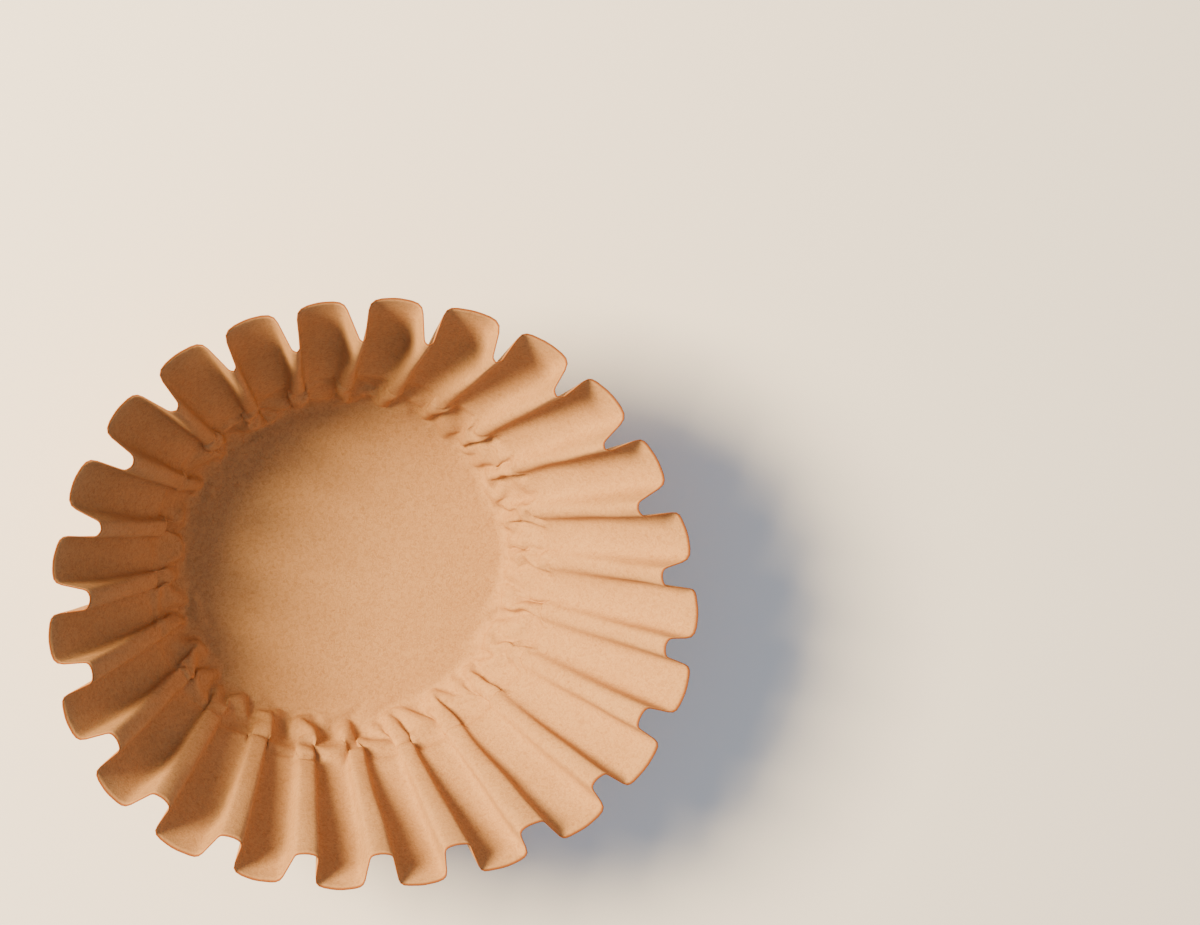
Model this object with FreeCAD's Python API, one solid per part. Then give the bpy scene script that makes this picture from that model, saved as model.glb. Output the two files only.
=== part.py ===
"""A basket coffee filter: one disc of brown paper pressed into a fluted cup that stands on its flat base.

Seen from outside, each flute is a flat land between two narrow notches. Seen from inside, each notch is a
ridge that runs down to the base. The flutes start at the fold round the base and grow evenly up the wall,
so that each land, ridge and flute side is a nearly flat panel. The paper doesn't stretch, so the wall is
equally long all the way round, and where it leans out further its cut edge is lower. The mouth is out of
round, as in a soft cup that has been lying on its side.
"""

import FreeCAD, Part
import math
import os

Vec = FreeCAD.Vector

# Driving dimensions, in millimetres and degrees. Z is up, and the underside of the base is at z = 0.
PAPER = 0.2                  # thickness of the sheet
BASE_DIAMETER = 82.6         # where the planes of the base and of the wall would meet
WALL_LENGTH = 63.5           # of paper, from there to the cut edge
WALL_SLOPE = 56.6            # mean angle of the lands above the horizontal
FOLD_RADIUS = 3.0            # of the outer face, where the base turns up into the wall

FLUTES = 24
FLUTE_TURN = -5.35           # direction of the middle of the first land
FLUTE_DEPTH = 8.2            # from land to ridge, level, at the cut edge
NOTCH_WIDTH = 8.8            # between two lands, at the cut edge
RIDGE_WIDTH = 5.2            # across the ridge, at the cut edge
FOOT_WIDTH = 1.6             # across the ridge and the notch where they run out into the fold
RIDGE_RISE = 1.6             # of the ridges' cut edge above that of the lands
LAND_CORNER = 1.6            # radius between land and flute side, at the cut edge
RIDGE_CORNER = 1.0           # radius between flute side and ridge, at the cut edge

# How far the wall sags outwards from its mean slope: waves round the cup, as (waves, degrees, direction).
SAG_WAVES = ((1, 2.3, -49.0), (2, 4.2, -10.0), (3, 2.2, -24.0), (4, 1.4, 52.0))
# How far the cut edge is pushed round the cup from an even spread of flutes, in the same form.
DRIFT_WAVES = ((1, 2.6, 31.0), (2, 1.4, 117.0), (3, 0.8, 72.0))

FOLD_STEPS = 2               # strips that make up the fold round the base
CORNER_STEPS = 3             # strips that make up each rounded corner of a flute
NODE = "filter"

BASE_RADIUS = BASE_DIAMETER / 2
PITCH = 2 * math.pi / FLUTES
FOOT_SHARE = FOLD_RADIUS * math.tan(math.radians(WALL_SLOPE / 2)) / WALL_LENGTH


def waves(table, angle):
    """Sum, in radians, of the cosine waves in table at angle."""
    total = 0.0
    for count, size, direction in table:
        total += math.radians(size) * math.cos(count * (angle - math.radians(direction)))
    return total


def slope_at(angle):
    """Slope of the lands above the horizontal in that direction."""
    return math.radians(WALL_SLOPE) - waves(SAG_WAVES, angle)


def rim_place(angle):
    """Radius and height of the lands' cut edge in that direction."""
    slope = slope_at(angle)
    return BASE_RADIUS + WALL_LENGTH * math.cos(slope), WALL_LENGTH * math.sin(slope)


def fold_place(turned):
    """The same for the fold's outer face, where it has turned up by that share of the slope."""
    def place(angle):
        slope = slope_at(angle)
        start = BASE_RADIUS - FOLD_RADIUS * math.tan(slope / 2)
        turn = slope * turned
        return start + FOLD_RADIUS * math.sin(turn), FOLD_RADIUS * (1 - math.cos(turn))
    return place


def flute_corners(place, share, rise):
    """The corners of the fluted outline at one level: of each flute, both sides of its land, then of its ridge.

    place gives the lands' radius and height in a direction. share is how far up the wall the level lies, and
    rise is how much higher than the lands the ridges are there."""
    notch = FOOT_WIDTH + share * (NOTCH_WIDTH - FOOT_WIDTH)
    ridge = FOOT_WIDTH + share * (RIDGE_WIDTH - FOOT_WIDTH)
    depth = FLUTE_DEPTH * share
    corners = []
    for number in range(FLUTES):
        land = math.radians(FLUTE_TURN) + number * PITCH
        crest = land + PITCH / 2
        radius = place(land)[0]
        half_land = PITCH / 2 - notch / 2 / radius
        half_ridge = ridge / 2 / (radius - depth)
        for angle in (land - half_land, land + half_land):
            corners.append(corner_point(place, angle, share, 0.0, 0.0))
        for angle in (crest - half_ridge, crest + half_ridge):
            corners.append(corner_point(place, angle, share, depth, rise))
    return corners


def corner_point(place, angle, share, inset, rise):
    """One corner, set in from the lands' radius and up from their height."""
    radius, height = place(angle)
    pushed = angle + waves(DRIFT_WAVES, angle) * share
    return Vec((radius - inset) * math.cos(pushed), (radius - inset) * math.sin(pushed), height + rise)


def panel_normals(low, high):
    """The inward normal of each flat panel between two levels' corners."""
    normals = []
    for number in range(len(low)):
        after = (number + 1) % len(low)
        across = high[after] - high[number]
        up = high[number] - low[number] + high[after] - low[after]
        normals.append(up.cross(across).normalize())
    return normals


def mitres(normals):
    """How far each corner moves when the panels on both its sides move along their normals by the paper."""
    moves = []
    for number, normal in enumerate(normals):
        before = normals[number - 1]
        moves.append((before + normal) * (PAPER / (1 + before.dot(normal))))
    return moves


def fold_moves(moves, turned):
    """The moves from the outer face to the inner one at a level of the fold: straight up where it starts."""
    slope = math.radians(WALL_SLOPE)
    level_share = math.sin(slope * turned) / math.sin(slope)
    rise = PAPER * math.cos(slope * turned)
    return [Vec(move.x * level_share, move.y * level_share, rise) for move in moves]


def rounded(corners, radii):
    """The outline's points: each corner becomes a short curve, from radius times tan(half its turn) before it."""
    points = []
    for number, knee in enumerate(corners):
        back = (corners[number - 1] - knee).normalize()
        ahead = (corners[(number + 1) % len(corners)] - knee).normalize()
        half_turn = (math.pi - back.getAngle(ahead)) / 2
        reach = radii[number % len(radii)] * math.tan(half_turn)
        curve = Part.BezierCurve()
        curve.setPoles([knee + back * reach, knee, knee + ahead * reach])
        points.extend(curve.value(step / CORNER_STEPS) for step in range(CORNER_STEPS + 1))
    return points


def skin(inside):
    """The outline's points at each level, from the base to the cut edge, on the paper's outer or inner face."""
    thickness = PAPER if inside else 0.0
    rim_radii = [LAND_CORNER - thickness] * 2 + [RIDGE_CORNER + thickness] * 2
    foot_radii = [radius * FOOT_SHARE for radius in rim_radii]
    foot = flute_corners(fold_place(1.0), FOOT_SHARE, 0.0)
    rim = flute_corners(rim_place, 1.0, RIDGE_RISE)
    moves = mitres(panel_normals(foot, rim))
    levels = []
    for step in range(FOLD_STEPS):
        turned = step / FOLD_STEPS
        corners = flute_corners(fold_place(turned), FOOT_SHARE, 0.0)
        levels.append((corners, fold_moves(moves, turned), foot_radii))
    levels.append((foot, moves, foot_radii))
    levels.append((rim, moves, rim_radii))
    outlines = []
    for corners, level_moves, radii in levels:
        if inside:
            corners = [corner + move for corner, move in zip(corners, level_moves)]
        outlines.append(rounded(corners, radii))
    return outlines


def wall_faces(outer, inner):
    """The flat faces from the outer face of the paper, over its cut edge and down the inner face.

    They lie between each outline and the next, two for each step along them. The two meet on the same
    diagonal on both faces of the paper, so that a twisted panel is as thick as a flat one."""
    outlines = outer + inner[::-1]
    points = [point for outline in outlines for point in outline]
    count = len(outer[0])
    triangles = []
    for level in range(len(outlines) - 1):
        first = 0 if level < len(outer) else 1
        for number in range(count):
            low, high = level * count + number, (level + 1) * count + number
            step = (number + 1) % count - number
            patch = (low, low + step, high + step, high)
            one, two, three, four = patch[first:] + patch[:first]
            triangles.append((one, two, three))
            triangles.append((one, three, four))
    shape = Part.Shape()
    shape.makeShapeFromMesh((points, triangles), PAPER / 1000)
    return shape.Faces


def base_face(outline):
    """One face of the flat base, inside its outline."""
    return Part.Face(Part.makePolygon(outline + outline[:1]))


def make_filter():
    """The whole filter as one closed solid: up the outer face, over the cut edge and down the inner face."""
    outer, inner = skin(False), skin(True)
    faces = wall_faces(outer, inner)
    faces += [base_face(outer[0]), base_face(inner[0])]
    shell = Part.makeShell(faces)
    shell.sewShape()
    solid = Part.makeSolid(shell)
    if solid.Volume < 0:
        solid.reverse()
    return solid


def main():
    """Builds the filter and writes its one part."""
    os.makedirs("parts", exist_ok=True)
    paper_filter = make_filter()
    if not paper_filter.isValid():
        raise RuntimeError("the filter is not a valid solid")
    paper_filter.exportStep(os.path.join("parts", NODE + ".step"))
    box = paper_filter.BoundBox
    print(f"{NODE}: {box.XLength:.1f} x {box.YLength:.1f} x {box.ZLength:.1f} mm,"
          f" {paper_filter.Volume / 1000:.2f} cm3 of paper, {len(paper_filter.Faces)} faces")


main()
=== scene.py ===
"""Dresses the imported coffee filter: the real sheet of filter paper, with its flutes, folds and creases.

The frame's one solid gives the size and place. This script makes the paper itself as a fine mesh over the
same fluted cup: it lays out the sheet as it was pressed, crumples the zone above the base where the flutes
die out, keeps the sheet's lengths while it does so, and gives it the finish of unbleached filter paper.
All lengths are in millimetres until a mesh is made, which is in metres. A length up the wall is counted from
where the planes of base and wall would meet, so it is negative on the base. A side is a direction in degrees.
"""

from __future__ import annotations

import logging
import math
from dataclasses import dataclass, field
from enum import Enum

import bpy
import numpy as np
from mathutils import Matrix, Vector

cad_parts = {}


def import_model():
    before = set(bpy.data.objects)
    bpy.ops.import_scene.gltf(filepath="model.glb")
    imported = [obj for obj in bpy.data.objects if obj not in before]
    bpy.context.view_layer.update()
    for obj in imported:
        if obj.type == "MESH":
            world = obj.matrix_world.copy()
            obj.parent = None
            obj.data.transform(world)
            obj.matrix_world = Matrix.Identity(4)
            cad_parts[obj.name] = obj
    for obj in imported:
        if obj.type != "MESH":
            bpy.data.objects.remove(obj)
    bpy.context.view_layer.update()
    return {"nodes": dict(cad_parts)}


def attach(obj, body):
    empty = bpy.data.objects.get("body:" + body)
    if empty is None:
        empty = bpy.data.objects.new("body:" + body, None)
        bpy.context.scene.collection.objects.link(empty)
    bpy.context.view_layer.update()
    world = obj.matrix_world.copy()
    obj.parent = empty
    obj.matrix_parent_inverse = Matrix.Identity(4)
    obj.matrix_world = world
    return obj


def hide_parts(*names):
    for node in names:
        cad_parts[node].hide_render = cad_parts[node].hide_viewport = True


LOG = logging.getLogger("coffee_filter")
MM = 0.001  # in metres
TINY = 1e-6  # mm, a length that counts as none
NODE = "filter"


class Face(Enum):
    """The two faces of the sheet: which way each lies from its middle."""

    INNER = 1.0
    OUTER = -1.0


class Along(Enum):
    """The two ways to count through the sheet's grid."""

    ROWS = "rows"
    COLUMNS = "columns"


def linear(hex_colour: str) -> tuple[float, float, float, float]:
    """Turns an sRGB hex colour into linear values.

    Args:
        hex_colour: Six hex digits, such as "d8b080".

    Returns:
        Red, green, blue and an alpha of 1.
    """
    values = []
    for start in (0, 2, 4):
        value = int(hex_colour[start:start + 2], 16) / 255
        values.append(value / 12.92 if value <= 0.04045 else ((value + 0.055) / 1.055) ** 2.4)
    return values[0], values[1], values[2], 1.0


def add_node(tree: bpy.types.NodeTree, kind: str, links: dict | None = None, inputs: dict | None = None,
             **settings: object) -> bpy.types.Node:
    """Adds one shader node with its settings, values and links.

    Args:
        tree: The material's node tree.
        kind: The node's type, such as "ShaderNodeMix".
        links: Sockets that feed its inputs, by the input's name or number.
        inputs: Values of its other inputs, by name or number.
        settings: Its own properties.

    Returns:
        The new node.
    """
    node = tree.nodes.new(kind)
    for name, value in settings.items():
        setattr(node, name, value)
    for name, value in (inputs or {}).items():
        node.inputs[name].default_value = value
    for name, socket in (links or {}).items():
        tree.links.new(socket, node.inputs[name])
    return node


def smooth_step(low: float, high: float, value: np.ndarray) -> np.ndarray:
    """Rises smoothly from 0 at low to 1 at high."""
    share = np.clip((value - low) / (high - low), 0.0, 1.0)
    return share * share * (3.0 - 2.0 * share)


def facing(angle: np.ndarray, side: float) -> np.ndarray:
    """How far each direction, in radians, looks to a side: from 0 on the far side to 1."""
    return 0.5 + 0.5 * np.cos(angle - math.radians(side))


def unit(vectors: np.ndarray) -> np.ndarray:
    """The vectors at length 1."""
    return vectors / np.maximum(np.linalg.norm(vectors, axis=-1, keepdims=True), 1e-12)


def soft_noise(draw: np.random.Generator, rows: int, columns: int, shortest: float, longest: float,
               upright: float) -> np.ndarray:
    """Smooth noise over a grid whose columns close into a ring.

    Args:
        draw: The source of random numbers.
        rows: Grid rows.
        columns: Grid columns.
        shortest: Shortest wave, in grid steps.
        longest: Longest wave, in grid steps.
        upright: How much longer the waves are along the columns.

    Returns:
        Values with a spread of 1, by row and column.
    """
    white = np.fft.fft2(draw.normal(size=(2 * rows, columns)))
    down = np.fft.fftfreq(2 * rows)[:, None]
    across = np.fft.fftfreq(columns)[None, :]
    waves = np.hypot(down * upright, across)
    keep = np.exp(-(waves * shortest) ** 2) - np.exp(-(waves * longest) ** 2)
    smooth = np.real(np.fft.ifft2(white * keep))[:rows]
    return smooth / smooth.std()


def grid_normals(points: np.ndarray) -> np.ndarray:
    """The normals of a grid of points, towards the inside of the cup."""
    across = np.roll(points, -1, axis=1) - np.roll(points, 1, axis=1)
    up = np.gradient(points, axis=0)
    return unit(np.cross(up, across))


@dataclass
class FlutedCup:
    """The pressed form of the sheet: sizes in millimetres and degrees, as in the solid that it stands for.

    The fold round the base and the corners are rounder than in the solid, and the ridges' feet are wider, as
    in soft paper.
    """

    paper: float = 0.2
    base_radius: float = 41.3
    wall_length: float = 63.5
    wall_slope: float = 56.6
    fold_radius: float = 6.5
    flutes: int = 24
    flute_turn: float = -5.35
    flute_depth: float = 8.2
    notch_width: float = 8.8
    ridge_width: float = 5.4
    ridge_rise: float = 1.6
    foot_width: float = 3.6

    # The foot of each ridge stands out a little over the fold: its share of the full depth, and from which
    # lengths to which it rises and fades.
    foot_depth: float = 0.045
    foot_rises: tuple = (0.5, 6.0)
    foot_fades: tuple = (10.0, 26.0)

    # Lands and ridges bow outwards and inwards, at the cut edge. Their corners are smaller at the foot.
    land_bow: float = 0.6
    ridge_bow: float = 0.3
    land_corner: float = 2.3
    ridge_corner: float = 1.4
    foot_corner: float = 0.35

    # On the soft side, the flutes are squeezed together: their sizes there.
    soft_side: float = 92.0
    soft_ridge: float = 1.8
    soft_notch: float = 5.8
    soft_depth: float = 9.6
    soft_corner: float = 1.3
    side_power: float = 2.2

    # On the round side, the folds below the cut edge are rounder: how strongly, and in how many passes.
    round_side: float = 0.0
    round_share: float = 0.7
    round_passes: int = 14

    # How far the wall leans out and is pushed round the cup: waves, as (waves, degrees, direction).
    sag_waves: tuple = ((1, 2.3, -49.0), (2, 4.2, -10.0), (3, 2.2, -24.0), (4, 1.4, 52.0))
    drift_waves: tuple = ((1, 2.6, 31.0), (2, 1.4, 117.0), (3, 0.8, 72.0))

    # Spread of the notches', ridges' and depths' sizes and of the lands' directions, in radians, and between
    # which shares of the wall it sets in.
    notch_spread: float = 0.5
    ridge_spread: float = 0.35
    depth_spread: float = 0.35
    turn_spread: float = 0.004
    uneven_rises: tuple = (0.1, 0.6)

    # Each ridge ends in a short step, and its foot keeps only a share of its depth, most so on the step side.
    step_at: float = 16.5
    step_spread: float = 3.0
    step_range: tuple = (11.5, 21.0)
    step_run: float = 0.9
    step_keeps: tuple = (0.1, 0.7)
    step_side: float = -115.0
    step_least: float = 0.1
    seed: int = 7

    @property
    def pitch(self) -> float:
        """The angle from one flute to the next, in radians."""
        return 2 * math.pi / self.flutes

    def waves(self, table: tuple, angle: np.ndarray) -> np.ndarray:
        """Sums, in radians, the cosine waves of a table at each angle."""
        total = np.zeros_like(angle)
        for count, size, direction in table:
            total = total + math.radians(size) * np.cos(count * (angle - math.radians(direction)))
        return total

    def slope(self, angle: np.ndarray) -> np.ndarray:
        """The lands' slope above the horizontal in each direction, in radians."""
        return math.radians(self.wall_slope) - self.waves(self.sag_waves, angle)

    def softness(self, angle: np.ndarray) -> np.ndarray:
        """How far, from 0 to 1, the flutes are squeezed together in that direction."""
        return facing(angle, self.soft_side) ** self.side_power

    def meridian(self, angle: np.ndarray, length: np.ndarray) -> tuple[np.ndarray, np.ndarray]:
        """Radius and height of the lands at each length up the wall.

        Args:
            angle: Directions.
            length: Paper lengths up the wall.

        Returns:
            Radii and heights, with a round fold between base and wall.
        """
        slope = self.slope(angle)
        reach = self.fold_radius * np.tan(slope / 2)
        turn = slope * np.clip((length + reach) / (2 * reach), 0.0, 1.0)
        radius = self.base_radius - reach + self.fold_radius * np.sin(turn)
        height = self.fold_radius * (1 - np.cos(turn))
        beyond = np.maximum(length - reach, 0.0)
        before = np.minimum(length + reach, 0.0)
        return radius + beyond * np.cos(slope) + before, height + beyond * np.sin(slope)

    def steps(self, length: np.ndarray) -> np.ndarray:
        """How much of each ridge's depth is left at each level, with its foot pushed in below its step.

        Args:
            length: Paper lengths, one for each level.

        Returns:
            Shares, by level and flute.
        """
        draw = np.random.default_rng(self.seed + 1)
        place = np.clip(draw.normal(self.step_at, self.step_spread, self.flutes), *self.step_range)
        crest = math.radians(self.flute_turn) + (np.arange(self.flutes) + 0.5) * 2 * math.pi / self.flutes
        stepped = self.step_least + (1.0 - self.step_least) * facing(crest, self.step_side)
        keep = 1.0 - stepped * (1.0 - draw.uniform(*self.step_keeps, self.flutes))
        risen = smooth_step(place - self.step_run, place + self.step_run, length[:, None])
        return keep + (1.0 - keep) * risen

    def knees(self, length: np.ndarray, stepped: bool = True) -> np.ndarray:
        """The corners of the fluted section at each length up the wall.

        Args:
            length: Paper lengths, one for each level.
            stepped: Whether the ridges' feet are pushed in.

        Returns:
            Points, by level and corner: of each flute, both sides of the land, then both sides of the ridge.
        """
        draw = np.random.default_rng(self.seed)
        share = np.clip(length, 0.0, None)[:, None] / self.wall_length
        rough = smooth_step(*self.uneven_rises, share)
        land = math.radians(self.flute_turn) + np.arange(self.flutes)[None, :] * self.pitch
        soft = self.softness(land + self.pitch / 2)
        notch_width = self.notch_width + soft * (self.soft_notch - self.notch_width)
        ridge_width = self.ridge_width + soft * (self.soft_ridge - self.ridge_width)
        full_depth = self.flute_depth + soft * (self.soft_depth - self.flute_depth)
        notch = self.foot_width + share * (notch_width - self.foot_width)
        notch = notch + rough * draw.normal(0.0, self.notch_spread, self.flutes)
        ridge = self.foot_width + share * (ridge_width - self.foot_width)
        ridge = ridge + rough * draw.normal(0.0, self.ridge_spread, self.flutes)
        foot_shape = smooth_step(*self.foot_rises, length) * (1.0 - smooth_step(*self.foot_fades, length))
        foot = self.foot_depth * foot_shape
        depth = (share + foot[:, None]) * (full_depth + draw.normal(0.0, self.depth_spread, self.flutes))
        if stepped:
            depth = depth * self.steps(length)
        land = land + rough * draw.normal(0.0, self.turn_spread, self.flutes)
        radius = self.meridian(land, length[:, None])[0]
        half_land = self.pitch / 2 - notch / 2 / radius
        half_ridge = ridge / 2 / (radius - depth)
        crest = land + self.pitch / 2
        corners = []
        for angle, inset, risen in ((land - half_land, 0.0, 0.0), (land + half_land, 0.0, 0.0),
                                    (crest - half_ridge, depth, 1.0), (crest + half_ridge, depth, 1.0)):
            level_radius, height = self.meridian(angle, length[:, None])
            pushed = angle + self.waves(self.drift_waves, angle) * share
            across = level_radius - inset
            height = height + risen * self.ridge_rise * share + self.paper / 2
            corners.append(np.stack([across * np.cos(pushed), across * np.sin(pushed), height], axis=-1))
        return np.stack(corners, axis=2).reshape(len(length), -1, 3)

    def radii(self, length: np.ndarray) -> np.ndarray:
        """The fold radius at each corner of each level, in the order of knees."""
        share = np.clip(length, 0.05, None)[:, None] / self.wall_length
        flute = np.repeat(np.arange(self.flutes), 4)
        centre = math.radians(self.flute_turn) + flute * 2 * math.pi / self.flutes
        size = np.tile([self.land_corner] * 2 + [self.ridge_corner] * 2, self.flutes)
        grown = self.foot_corner + (1.0 - self.foot_corner) * share
        return grown * size * (1.0 + (self.soft_corner - 1.0) * self.softness(centre))

    def soften(self, points: np.ndarray, share: float) -> np.ndarray:
        """Rounds the flutes below the cut edge, most on the round side.

        Args:
            points: One level's points.
            share: How far up the wall the level lies.

        Returns:
            The rounded level.
        """
        turn = np.arctan2(points[:, 1], points[:, 0])
        side = facing(turn, self.round_side) ** self.side_power
        pull = (self.round_share * (1.0 - share) * side)[:, None]
        for _ in range(self.round_passes):
            mean = (np.roll(points, 1, axis=0) + np.roll(points, -1, axis=0)) / 2
            points = points + pull * (mean - points)
        return points


@dataclass
class SheetGrid:
    """The sheet's middle surface as rows up the wall and columns round it, laid out along the flutes."""

    cup: FlutedCup
    land_cells: int = 5
    corner_cells: int = 3
    side_cells: int = 2
    ridge_cells: int = 3
    inner_edge: float = -7.3
    fine_top: float = 24.0
    fine_step: float = 0.65
    coarse_step: float = 1.65
    even_until: float = 3.0  # below this length the columns are evenly spread
    folds_from: float = 15.0  # and above this one they follow the folds
    most_reach: float = 0.45  # of a panel, for the curve at its corner
    lengths: np.ndarray = field(init=False)
    points: np.ndarray = field(init=False)
    flat_turn: np.ndarray = field(init=False)
    girth: np.ndarray = field(init=False)

    def __post_init__(self) -> None:
        """Lays out the rows, then each row's points."""
        fine = np.arange(self.inner_edge, self.fine_top, self.fine_step)
        count = int(round((self.cup.wall_length - fine[-1]) / self.coarse_step))
        share = np.linspace(0.0, 1.0, count + 1)[1:]
        self.lengths = np.concatenate([fine, fine[-1] + share * (self.cup.wall_length - fine[-1])])
        knees = self.cup.knees(self.lengths)
        radii = self.cup.radii(self.lengths)
        rows = [self.lay_row(*row) for row in zip(knees, radii, self.lengths)]
        self.points = np.stack([row[0] for row in rows])
        self.flat_turn = np.stack([row[1] for row in rows])
        whole = self.cup.knees(self.lengths, stepped=False)
        self.girth = np.linalg.norm(np.roll(whole, -1, axis=1) - whole, axis=2).sum(axis=1)

    @property
    def cells(self) -> tuple[int, int, int, int]:
        """Cells after each of a flute's corners: across the land, a side, the ridge and the other side."""
        return self.land_cells, self.side_cells, self.ridge_cells, self.side_cells

    @property
    def columns_per_flute(self) -> int:
        """Columns in one flute."""
        return 4 * self.corner_cells + sum(self.cells)

    def lay_row(self, knees: np.ndarray, radii: np.ndarray, length: float) -> tuple[np.ndarray, np.ndarray]:
        """Divides one level of the wall into columns.

        Args:
            knees: The level's corners.
            radii: Their fold radii.
            length: How far up the wall the level lies.

        Returns:
            The points, and each point's direction in the flat disc.
        """
        ahead = np.roll(knees, -1, axis=0) - knees
        panel = np.maximum(np.linalg.norm(ahead, axis=1), TINY)
        ahead = ahead / panel[:, None]
        back = np.roll(ahead, 1, axis=0)
        half_turn = np.arccos(np.clip((ahead * back).sum(axis=1), -1.0, 1.0)) / 2
        room = self.most_reach * np.minimum(panel, np.roll(panel, 1))
        reach = np.minimum(radii * np.tan(half_turn), room)
        arc = np.concatenate([[0.0], np.cumsum(panel)])
        followed = self.follow_folds(arc, reach)
        even = self.even_spread(followed, arc[-1])
        blend = float(smooth_step(self.even_until, self.folds_from, np.array(length)))
        along = followed * blend + even * (1.0 - blend)
        share = float(np.clip(length / self.cup.wall_length, 0.0, 1.0))
        points = self.walk(along, arc, knees, ahead, back, reach, share)
        return self.cup.soften(points, share), self.spread_turn(along, arc)

    def spread_turn(self, along: np.ndarray, arc: np.ndarray) -> np.ndarray:
        """Each place's direction in the flat disc, where the middles of the lands are evenly spread."""
        centres = (arc[0:-1:4] + arc[1::4]) / 2
        ends = np.concatenate([[centres[-1] - arc[-1]], centres, [centres[0] + arc[-1]]])
        return np.interp(along, ends, self.cup.pitch * np.arange(-1, self.cup.flutes + 1))

    def follow_folds(self, arc: np.ndarray, reach: np.ndarray) -> np.ndarray:
        """Where the columns lie along the level if they follow the folds."""
        count = len(reach)
        stops = []
        for corner in range(count):
            start, end = arc[corner] - reach[corner], arc[corner] + reach[corner]
            after = arc[corner + 1] - reach[(corner + 1) % count]
            stops.append(np.linspace(start, end, self.corner_cells + 1)[:-1])
            stops.append(np.linspace(end, after, self.cells[corner % 4] + 1)[:-1])
        return np.concatenate(stops)

    def even_spread(self, followed: np.ndarray, girth: float) -> np.ndarray:
        """Where the columns lie if each flute's are evenly spaced, starting where its folds start."""
        count = self.columns_per_flute
        starts = followed[::count]
        spans = np.append(starts[1:], starts[0] + girth) - starts
        return (starts[:, None] + spans[:, None] * np.arange(count)[None, :] / count).ravel()

    def walk(self, along: np.ndarray, arc: np.ndarray, knees: np.ndarray, ahead: np.ndarray, back: np.ndarray,
             reach: np.ndarray, bow_share: float) -> np.ndarray:
        """The points at those places along the level, with its corners rounded and its lands bowed.

        Args:
            along: Places along the level.
            arc: Places of the corners.
            knees: The corners.
            ahead: Directions from each corner to the next.
            back: Directions into each corner.
            reach: How far before and after each corner its curve reaches.
            bow_share: How much of their full bow the lands and ridges have at this level.

        Returns:
            The points.
        """
        count = len(knees)
        place = np.mod(along, arc[-1])
        panel = np.clip(np.searchsorted(arc, place, side="right") - 1, 0, count - 1)
        gone = place - arc[panel]
        left = arc[panel + 1] - place
        points = knees[panel] + gone[:, None] * ahead[panel]
        for corner, offset, near in ((panel, gone, gone), ((panel + 1) % count, -left, left)):
            size = reach[corner]
            share = np.clip((offset + size) / (2 * size), 0.0, 1.0)[:, None]
            bend = share ** 2 * ahead[corner] - (1 - share) ** 2 * back[corner]
            points = np.where((near < size)[:, None], knees[corner] + size[:, None] * bend, points)
        bows = np.array([bow_share * self.cup.land_bow, 0.0, -bow_share * self.cup.ridge_bow, 0.0])
        bow = bows[panel % 4] * np.sin(math.pi * gone / (gone + left)) ** 2
        outward = np.stack([ahead[panel, 1], -ahead[panel, 0], np.zeros(len(panel))], axis=1)
        return points + bow[:, None] * outward


@dataclass(frozen=True)
class Threads:
    """Threads of the sheet that share no point, so that all of them can be pulled at once.

    The long ones lie over other points. They hold the sheet flat, and let go where it creases.
    """

    first: np.ndarray
    second: np.ndarray
    rest: np.ndarray
    share: float
    bends: bool

    def pull(self, points: np.ndarray, crease_at: float, creased_hold: float) -> None:
        """Moves the threads' ends towards their length in the flat sheet.

        Args:
            points: All the sheet's points, which are changed.
            crease_at: Share of its length under which a long thread counts as creased.
            creased_hold: How firmly a creased thread is still kept.
        """
        gap = points[self.second] - points[self.first]
        size = np.sqrt(np.einsum("ij,ij->i", gap, gap))
        share = self.share
        if self.bends:
            share = np.where(size < crease_at * self.rest, creased_hold, share)
        move = gap * (0.5 * share * (1.0 - self.rest / size))[:, None]
        points[self.first] += move
        points[self.second] -= move


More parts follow.
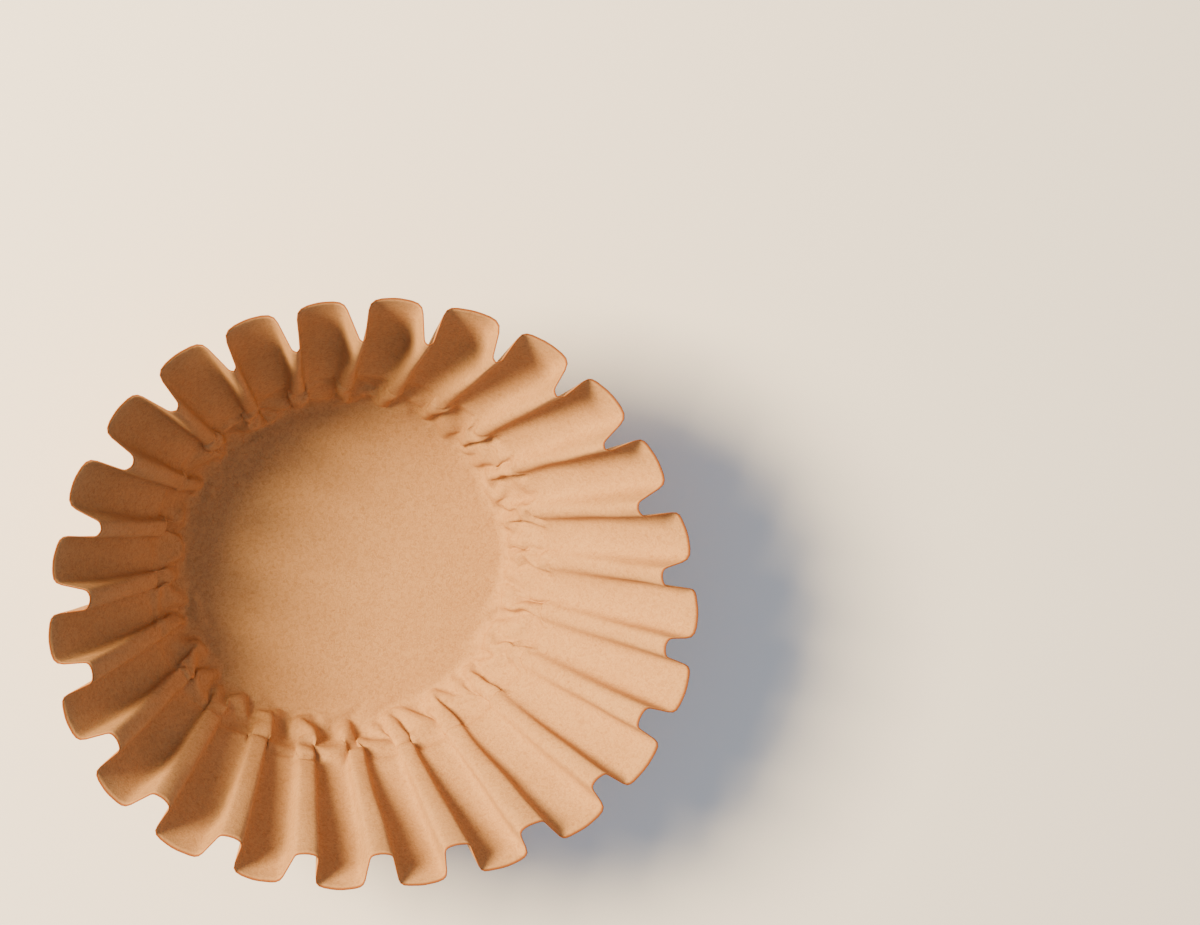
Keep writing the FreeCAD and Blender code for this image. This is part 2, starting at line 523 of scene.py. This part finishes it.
@dataclass
class Crumple:
    """Crumples the foot of the wall and keeps the sheet's lengths, by moving its points until they fit."""

    grid: SheetGrid
    top: float = 26.0

    # Between which lengths the sheet comes free, and is held again.
    frees: tuple = (-6.0, -2.0)
    holds: tuple = (16.0, 23.0)

    # The foot has paper to spare, as shares round the cup and up the wall, uneven from flute to flute.
    spare_round: float = 0.018
    spare_up: float = 0.03
    spare_rises: tuple = (0.0, 6.0)
    spare_fades: tuple = (16.0, 24.0)
    spare_uneven: tuple = (0.4, 1.6)

    slant_hold: float = 0.7
    bend_hold: float = 0.3
    crease_at: float = 0.94
    creased_hold: float = 0.01
    rounds: int = 500
    eased_rounds: int = 2
    eased_share: float = 0.35

    # The push that starts the creases: its size in mm, its waves in grid steps, and where it is calmer.
    rough_size: float = 0.8
    rough_short: float = 12.0
    rough_long: float = 40.0
    rough_upright: float = 1.8
    calm_side: float = 15.0
    calm: float = 0.6
    seed: int = 11

    def run(self) -> np.ndarray:
        """Returns the whole sheet's points with the foot crumpled."""
        rows = int(np.searchsorted(self.grid.lengths, self.top))
        target = self.grid.points[:rows]
        length = self.grid.lengths[:rows][:, None]
        free = smooth_step(*self.frees, length) * (1.0 - smooth_step(*self.holds, length))
        points = self.relax(self.roughen(target, free), target, free)
        return np.concatenate([self.ease(points, free), self.grid.points[rows:]])

    def roughen(self, target: np.ndarray, free: np.ndarray) -> np.ndarray:
        """Pushes the sheet out of its pressed form, at random.

        Args:
            target: The pressed form's points, by row and column.
            free: How free each row is, from 0 to 1.

        Returns:
            The pushed points.
        """
        rows, columns = target.shape[:2]
        draw = np.random.default_rng(self.seed)
        normal = grid_normals(target)
        noise = soft_noise(draw, rows, columns, self.rough_short, self.rough_long, self.rough_upright)
        turn = np.arctan2(target[..., 1], target[..., 0])
        rough = self.rough_size * (1.0 - self.calm * facing(turn, self.calm_side))
        return target + normal * (noise * free * rough)[..., None]

    def relax(self, points: np.ndarray, target: np.ndarray, free: np.ndarray) -> np.ndarray:
        """Moves the points, round after round, until the sheet has its own lengths again.

        Args:
            points: Where the points start, by row and column.
            target: Where they are held as far as they aren't free.
            free: How free each row is, from 0 to 1.

        Returns:
            The points, none of them under the floor.
        """
        rows, columns = target.shape[:2]
        flat = points.reshape(-1, 3)
        hold = ((1.0 - free) * np.ones((1, columns))).reshape(-1, 1) ** 2
        pinned = target.reshape(-1, 3)
        batches = self.batches(rows, columns)
        for _ in range(self.rounds):
            for threads in batches:
                threads.pull(flat, self.crease_at, self.creased_hold)
            flat += hold * (pinned - flat)
            np.maximum(flat[:, 2], self.grid.cup.paper / 2, out=flat[:, 2])
        return flat.reshape(rows, columns, 3)

    def ease(self, points: np.ndarray, free: np.ndarray) -> np.ndarray:
        """Takes the hardness off the creases, which paper this soft can't hold."""
        for _ in range(self.eased_rounds):
            inner = points[1:-1]
            beside = np.roll(inner, 1, axis=1) + np.roll(inner, -1, axis=1)
            mean = (points[:-2] + points[2:] + beside) / 4
            points[1:-1] += self.eased_share * free[1:-1, :, None] * (mean - inner)
        return points

    def batches(self, rows: int, columns: int) -> list[Threads]:
        """The sheet's threads, in sets that share no point.

        Args:
            rows: Rows that can move.
            columns: Columns, a multiple of the longest period.

        Returns:
            The sets.
        """
        index = np.arange(rows * columns).reshape(rows, columns)
        row, column = np.divmod(np.arange(rows * columns), columns)
        sets = []
        plans = (
            ((0, 1), 2, Along.COLUMNS, 1.0),
            ((1, 0), 2, Along.ROWS, 1.0),
            ((1, 1), 2, Along.ROWS, self.slant_hold),
            ((1, -1), 2, Along.ROWS, self.slant_hold),
            ((0, 2), 4, Along.COLUMNS, self.bend_hold),
            ((2, 0), 4, Along.ROWS, self.bend_hold),
            ((0, 4), 8, Along.COLUMNS, self.bend_hold),
            ((4, 0), 8, Along.ROWS, self.bend_hold),
        )
        for (down, side), period, along, share in plans:
            counter = row if along is Along.ROWS else column
            for phase in range(2):
                wanted = (counter % period) // (period // 2) == phase
                wanted &= row + down < rows
                first = np.nonzero(wanted)[0]
                second = index[row[first] + down, (column[first] + side) % columns]
                rest = self.rest_length(first, second, columns)
                sets.append(Threads(first, second, rest, share, max(down, abs(side)) > 1))
        return sets

    def rest_length(self, first: np.ndarray, second: np.ndarray, columns: int) -> np.ndarray:
        """The distance between two points in the flat sheet, with the spare paper that the foot takes up.

        Args:
            first: Numbers of the threads' first points.
            second: Numbers of their second points.
            columns: Columns of the grid.

        Returns:
            The threads' lengths.
        """
        row_a, row_b = first // columns, second // columns
        column_a, column_b = first % columns, second % columns
        length = self.grid.lengths
        middle = (length[row_a] + length[row_b]) / 2
        spare = smooth_step(*self.spare_rises, middle) * (1.0 - smooth_step(*self.spare_fades, middle))
        girth = (self.grid.girth[row_a] + self.grid.girth[row_b]) / 2 * (1.0 + self.spare_round * spare)
        turn = self.grid.flat_turn[row_b, column_b] - self.grid.flat_turn[row_a, column_a]
        turn = np.mod(turn + math.pi, 2 * math.pi) - math.pi
        flute = column_a // self.grid.columns_per_flute
        draw = np.random.default_rng(self.seed + 1)
        uneven = draw.uniform(*self.spare_uneven, self.grid.cup.flutes)[flute]
        up = (length[row_b] - length[row_a]) * (1.0 + self.spare_up * spare * uneven)
        return np.hypot(up, girth * turn / (2 * math.pi))


@dataclass(frozen=True)
class FilterPaper:
    """Unbleached filter paper, pressed hot: soft brown wood fibre, matt, with a cloudy tone and a felt mark.

    The eye gets a warm tan with no gloss, small darker fibres, and painted shade: a darker, more orange line
    along the cut edge.
    """

    tan: str = "b68a5a"
    pale: str = "c09565"  # where the cloudy tone is lightest
    dark_fibre: str = "8a5f38"
    # Painted shade: the colour of the darker, more orange line along the cut edge.
    painted_edge_shade: str = "8a4f26"
    roughness: float = 0.92
    ior: float = 1.45
    cloud_mm: float = 9.0  # thicker and thinner places of the sheet

    # Real fibres are 0.03 mm thick, too fine to show, so they are drawn as coarse as clumps of them.
    fibre_mm: float = 0.9
    grain_mm: float = 0.35
    relief_mm: float = 0.1
    speck_strength: float = 0.58
    edge_shade_mm: float = 0.9  # how far the painted shade along the cut edge fades in

    def build(self) -> bpy.types.Material:
        """Makes the material."""
        material = bpy.data.materials.new("unbleached_filter_paper")
        material.use_nodes = True
        tree = material.node_tree
        tree.nodes.clear()
        place = add_node(tree, "ShaderNodeTexCoord").outputs["Object"]
        cloud = add_node(tree, "ShaderNodeTexNoise", {"Vector": place},
                         {"Scale": 1 / (self.cloud_mm * MM), "Detail": 3.0, "Roughness": 0.55})
        fibre_look = {"Detail": 4.0, "Roughness": 0.65, "Distortion": 1.2}
        fibre = add_node(tree, "ShaderNodeTexNoise", {"Vector": place},
                         {"Scale": 1 / (self.fibre_mm * MM), **fibre_look})
        grain = add_node(tree, "ShaderNodeTexNoise", {"Vector": place},
                         {"Scale": 1 / (self.grain_mm * MM), "Detail": 2.0, "Roughness": 0.6})
        tone = add_node(tree, "ShaderNodeMix", {"Factor": cloud.outputs["Fac"]},
                        {6: linear(self.tan), 7: linear(self.pale)}, data_type="RGBA")
        specks = add_node(tree, "ShaderNodeMapRange", {"Value": fibre.outputs["Fac"]},
                          {"From Min": 0.42, "From Max": 0.72, "To Min": 0.0, "To Max": self.speck_strength})
        mottled = add_node(tree, "ShaderNodeMix", {"Factor": specks.outputs["Result"], 6: tone.outputs[2]},
                           {7: linear(self.dark_fibre)}, data_type="RGBA")
        # Painted shade along the cut edge: darker and more orange near the edge, fading out over its width.
        edge = add_node(tree, "ShaderNodeAttribute", attribute_name="from_cut_edge")
        fade = {"From Min": 0.3 * self.edge_shade_mm, "From Max": self.edge_shade_mm, "To Min": 1.0, "To Max": 0.0}
        painted_shade_band = add_node(tree, "ShaderNodeMapRange", {"Value": edge.outputs["Fac"]}, fade)
        colour = add_node(tree, "ShaderNodeMix", {"Factor": painted_shade_band.outputs["Result"], 6: mottled.outputs[2]},
                          {7: linear(self.painted_edge_shade)}, data_type="RGBA")
        relief = add_node(tree, "ShaderNodeMath", {0: fibre.outputs["Fac"], 1: grain.outputs["Fac"]},
                          operation="ADD")
        bump = add_node(tree, "ShaderNodeBump", {"Height": relief.outputs["Value"]},
                        {"Strength": 0.9, "Distance": self.relief_mm * MM})
        shader = add_node(tree, "ShaderNodeBsdfPrincipled",
                          {"Base Color": colour.outputs[2], "Normal": bump.outputs["Normal"]},
                          {"Roughness": self.roughness, "IOR": self.ior, "Specular IOR Level": 0.15})
        add_node(tree, "ShaderNodeOutputMaterial", {"Surface": shader.outputs["BSDF"]})
        return material


@dataclass(frozen=True)
class FloorSweep:
    """Plain matt white board: the eye gets a pale, even ground that takes a soft shadow."""

    white: str = "f6f5f3"
    roughness: float = 0.9

    def build(self) -> bpy.types.Material:
        """Makes the material."""
        material = bpy.data.materials.new("white_paper_sweep")
        material.use_nodes = True
        shader = material.node_tree.nodes["Principled BSDF"]
        shader.inputs["Base Color"].default_value = linear(self.white)
        shader.inputs["Roughness"].default_value = self.roughness
        return material


@dataclass
class PaperFilter:
    """The whole filter: one sheet with two faces and a cut edge."""

    cup: FlutedCup = field(default_factory=FlutedCup)
    finish: FilterPaper = field(default_factory=FilterPaper)
    disc_step: float = 2.0
    least_cell: float = 1.0  # narrower cells of the disc are joined in pairs

    # The base's slight unevenness: its size, its waves as (waves, size, offset), and where it dies out.
    disc_swell: float = 0.25
    swell_mean: float = 0.6
    swell_waves: tuple = ((2, 0.4, 0.6), (3, 0.25, -1.0))
    swell_reach: float = 30.0
    swell_fades: tuple = (0.5, 1.0)
    swell_edge: float = 0.82

    # The wall's waviness from being handled: its size in mm, and its waves and start in grid steps.
    wave_size: float = 0.11
    wave_short: float = 12.0
    wave_long: float = 50.0
    wave_upright: float = 1.2
    wave_rises: tuple = (4.0, 16.0)
    seed: int = 23

    def build(self) -> bpy.types.Object:
        """Makes the sheet's mesh, dresses it and puts it in the frame."""
        grid = SheetGrid(self.cup)
        wall = Crumple(grid).run()
        wall = self.handle(wall)
        points, faces, from_edge = self.middle(grid, wall)
        vertices, polygons, edge = self.thicken(points, faces, from_edge, wall.shape[1])
        mesh = bpy.data.meshes.new("paper_filter")
        mesh.from_pydata((vertices * MM).tolist(), [], polygons)
        mesh.shade_smooth()
        attribute = mesh.attributes.new("from_cut_edge", "FLOAT", "POINT")
        attribute.data.foreach_set("value", edge.astype(np.float32))
        mesh.materials.append(self.finish.build())
        mesh.validate()
        piece = bpy.data.objects.new("paper_filter", mesh)
        bpy.context.scene.collection.objects.link(piece)
        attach(piece, "root")
        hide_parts(NODE)
        LOG.info("paper_filter: %d vertices, %d faces", len(vertices), len(polygons))
        return piece

    def handle(self, wall: np.ndarray) -> np.ndarray:
        """Gives the whole wall the slight waviness of paper that has been handled."""
        draw = np.random.default_rng(self.seed)
        rows, columns = wall.shape[:2]
        held = smooth_step(*self.wave_rises, np.arange(rows, dtype=float))
        wave = soft_noise(draw, rows, columns, self.wave_short, self.wave_long, self.wave_upright)
        return wall + grid_normals(wall) * (self.wave_size * wave * held[:, None])[..., None]

    def middle(self, grid: SheetGrid, wall: np.ndarray) -> tuple[np.ndarray, list, np.ndarray]:
        """Joins the wall and the base's disc into one middle surface.

        Args:
            grid: The sheet's rows and columns.
            wall: The wall's points, by row and column.

        Returns:
            Points, faces that look into the cup, and each point's distance from the cut edge.
        """
        rows, columns = wall.shape[:2]
        index = np.arange(rows * columns).reshape(rows, columns)
        points = [wall.reshape(-1, 3)]
        distance = np.repeat(grid.lengths[-1] - grid.lengths, columns)
        beside = np.roll(index, -1, axis=1)
        quads = np.stack([index[:-1], index[1:], beside[1:], beside[:-1]], axis=-1)
        faces = quads.reshape(-1, 4).tolist()
        ring = index[0]
        total = rows * columns
        radius = float(np.linalg.norm(wall[0][:, :2], axis=1).mean())
        steps = int(radius / self.disc_step)
        for step in range(1, steps):
            share = 1.0 - step / steps
            narrow = len(ring) * self.least_cell > 2 * math.pi * radius * share
            count = len(ring) // 2 if narrow and len(ring) % 2 == 0 else len(ring)
            placed = wall[0][:: columns // count] * [share, share, 1.0]
            new = np.arange(total, total + count)
            if count < len(ring):
                faces += self.halve(ring, new)
            else:
                faces += np.stack([new, ring, np.roll(ring, -1), np.roll(new, -1)], axis=-1).tolist()
            points.append(placed)
            total += count
            ring = new
        points.append(np.array([[0.0, 0.0, wall[0][:, 2].mean()]]))
        faces += [[a, b, total] for a, b in zip(ring, np.roll(ring, -1))]
        points = self.swell(np.concatenate(points), rows * columns)
        distance = np.concatenate([distance, np.full(len(points) - len(distance), grid.lengths[-1])])
        return points, [[int(v) for v in face] for face in faces], distance

    def halve(self, ring: np.ndarray, new: np.ndarray) -> list:
        """The faces between a ring of points and an inner ring of half as many."""
        faces = []
        after = np.roll(new, -1)
        for number in range(len(new)):
            first, middle = ring[2 * number], ring[2 * number + 1]
            last = ring[(2 * number + 2) % len(ring)]
            faces.append([new[number], first, middle])
            faces.append([new[number], middle, after[number]])
            faces.append([middle, last, after[number]])
        return faces

    def swell(self, points: np.ndarray, start: int) -> np.ndarray:
        """Gives the base's disc the slight unevenness of unheld paper.

        Args:
            points: All the points of the middle surface, which are changed.
            start: Number of the disc's first point.

        Returns:
            The same points.
        """
        disc = points[start:]
        radius = np.hypot(disc[:, 0], disc[:, 1])
        turn = np.arctan2(disc[:, 1], disc[:, 0])
        inside = 1.0 - smooth_step(*self.swell_fades, radius / self.cup.base_radius / self.swell_edge)
        swell = self.swell_mean
        for count, size, offset in self.swell_waves:
            swell = swell + size * np.cos(count * turn + offset) * (radius / self.swell_reach) ** (count - 1)
        disc[:, 2] += self.disc_swell * inside * swell
        return points

    def thicken(self, points: np.ndarray, faces: list, from_edge: np.ndarray,
                columns: int) -> tuple[np.ndarray, list, np.ndarray]:
        """Gives the middle surface the paper's thickness and closes it at the cut edge.

        Args:
            points: The middle surface's points.
            faces: Its faces, which look into the cup.
            from_edge: Each point's distance from the cut edge.
            columns: How many points lie on the cut edge.

        Returns:
            Points, faces and distances from the cut edge, of the closed sheet.
        """
        normals = self.point_normals(points, faces)
        count = len(points)
        skins = [points + face.value * normals * self.cup.paper / 2 for face in (Face.INNER, Face.OUTER)]
        skins[1][:, 2] = np.maximum(skins[1][:, 2], 0.0)
        polygons = list(faces) + [[v + count for v in face[::-1]] for face in faces]
        rim_start = int(np.nonzero(from_edge < TINY)[0][0])
        for number in range(columns):
            one, other = rim_start + number, rim_start + (number + 1) % columns
            polygons.append([other, one, one + count, other + count])
        return np.concatenate(skins), polygons, np.concatenate([from_edge, from_edge])

    def point_normals(self, points: np.ndarray, faces: list) -> np.ndarray:
        """The normal at each point, from the faces round it."""
        normals = np.zeros_like(points)
        for corners in (3, 4):
            some = np.array([face for face in faces if len(face) == corners])
            if corners == 3:
                one = points[some[:, 1]] - points[some[:, 0]]
                other = points[some[:, 2]] - points[some[:, 0]]
            else:
                one = points[some[:, 2]] - points[some[:, 0]]
                other = points[some[:, 3]] - points[some[:, 1]]
            square = np.cross(one, other)
            for corner in range(corners):
                np.add.at(normals, some[:, corner], square)
        return unit(normals)


@dataclass
class Studio:
    """The floor, the light and the camera.

    The camera's place is in millimetres, and other sizes are in metres.
    """

    eye: tuple = (-102.2, 107.9, 662.9)
    forward: tuple = (0.247, -0.1193, -0.9616)
    up: tuple = (0.0046, 0.9925, -0.1219)
    lens_px: float = 2600.0
    photo_width_px: float = 1200.0
    sensor_mm: float = 36.0
    nearest: float = 0.01
    furthest: float = 20.0
    floor_half: float = 6.0
    floor_finish: FloorSweep = field(default_factory=FloorSweep)
    key_place: tuple = (-1.05, 0.36, 0.93)
    key_aim: tuple = (0.0, 0.0, 0.03)
    key_size: float = 0.50
    key_power: float = 96.0
    key_colour: str = "ffe0ae"
    room_colour: str = "d8e2f3"
    room_strength: float = 0.60

    def camera(self) -> bpy.types.Object:
        """Makes the camera at the photograph's viewing angle."""
        data = bpy.data.cameras.new("camera")
        data.sensor_fit = "HORIZONTAL"
        data.sensor_width = self.sensor_mm
        data.lens = self.lens_px / self.photo_width_px * self.sensor_mm
        data.clip_start = self.nearest
        data.clip_end = self.furthest
        camera = bpy.data.objects.new("camera", data)
        bpy.context.scene.collection.objects.link(camera)
        back = -Vector(self.forward).normalized()
        right = Vector(self.up).cross(back).normalized()
        over = back.cross(right)
        turn = Matrix((right, over, back)).transposed().to_4x4()
        camera.matrix_world = Matrix.Translation(Vector(self.eye) * MM) @ turn
        bpy.context.scene.camera = camera
        return camera

    def floor(self) -> bpy.types.Object:
        """Makes the plain pale floor."""
        mesh = bpy.data.meshes.new("floor")
        size = self.floor_half
        corners = [(-size, -size, 0.0), (size, -size, 0.0), (size, size, 0.0), (-size, size, 0.0)]
        mesh.from_pydata(corners, [], [[0, 1, 2, 3]])
        mesh.materials.append(self.floor_finish.build())
        floor = bpy.data.objects.new("floor", mesh)
        bpy.context.scene.collection.objects.link(floor)
        return floor

    def key(self) -> bpy.types.Object:
        """Makes the large, soft key light, from the upper left of the picture."""
        data = bpy.data.lights.new("key", "AREA")
        data.shape = "SQUARE"
        data.size = self.key_size
        data.energy = self.key_power
        data.color = linear(self.key_colour)[:3]
        lamp = bpy.data.objects.new("key", data)
        bpy.context.scene.collection.objects.link(lamp)
        lamp.location = self.key_place
        away = Vector(self.key_place) - Vector(self.key_aim)
        lamp.rotation_mode = "QUATERNION"
        lamp.rotation_quaternion = away.to_track_quat("Z", "Y")
        return lamp

    def room(self) -> bpy.types.World:
        """Makes the pale surroundings, which light the shaded side."""
        world = bpy.data.worlds.new("white_room")
        world.use_nodes = True
        background = world.node_tree.nodes["Background"]
        background.inputs["Color"].default_value = linear(self.room_colour)
        background.inputs["Strength"].default_value = self.room_strength
        bpy.context.scene.world = world
        return world


def main() -> None:
    """Builds the camera, the filter, its floor and its light, in order."""
    logging.basicConfig(level=logging.INFO, format="%(message)s")
    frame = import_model()
    LOG.info("frame nodes: %s", ", ".join(frame["nodes"]))
    studio = Studio()
    studio.camera()
    piece = PaperFilter().build()
    LOG.info("built %s", piece.name)
    studio.floor()
    studio.key()
    studio.room()


if __name__ == "__main__":
    main()
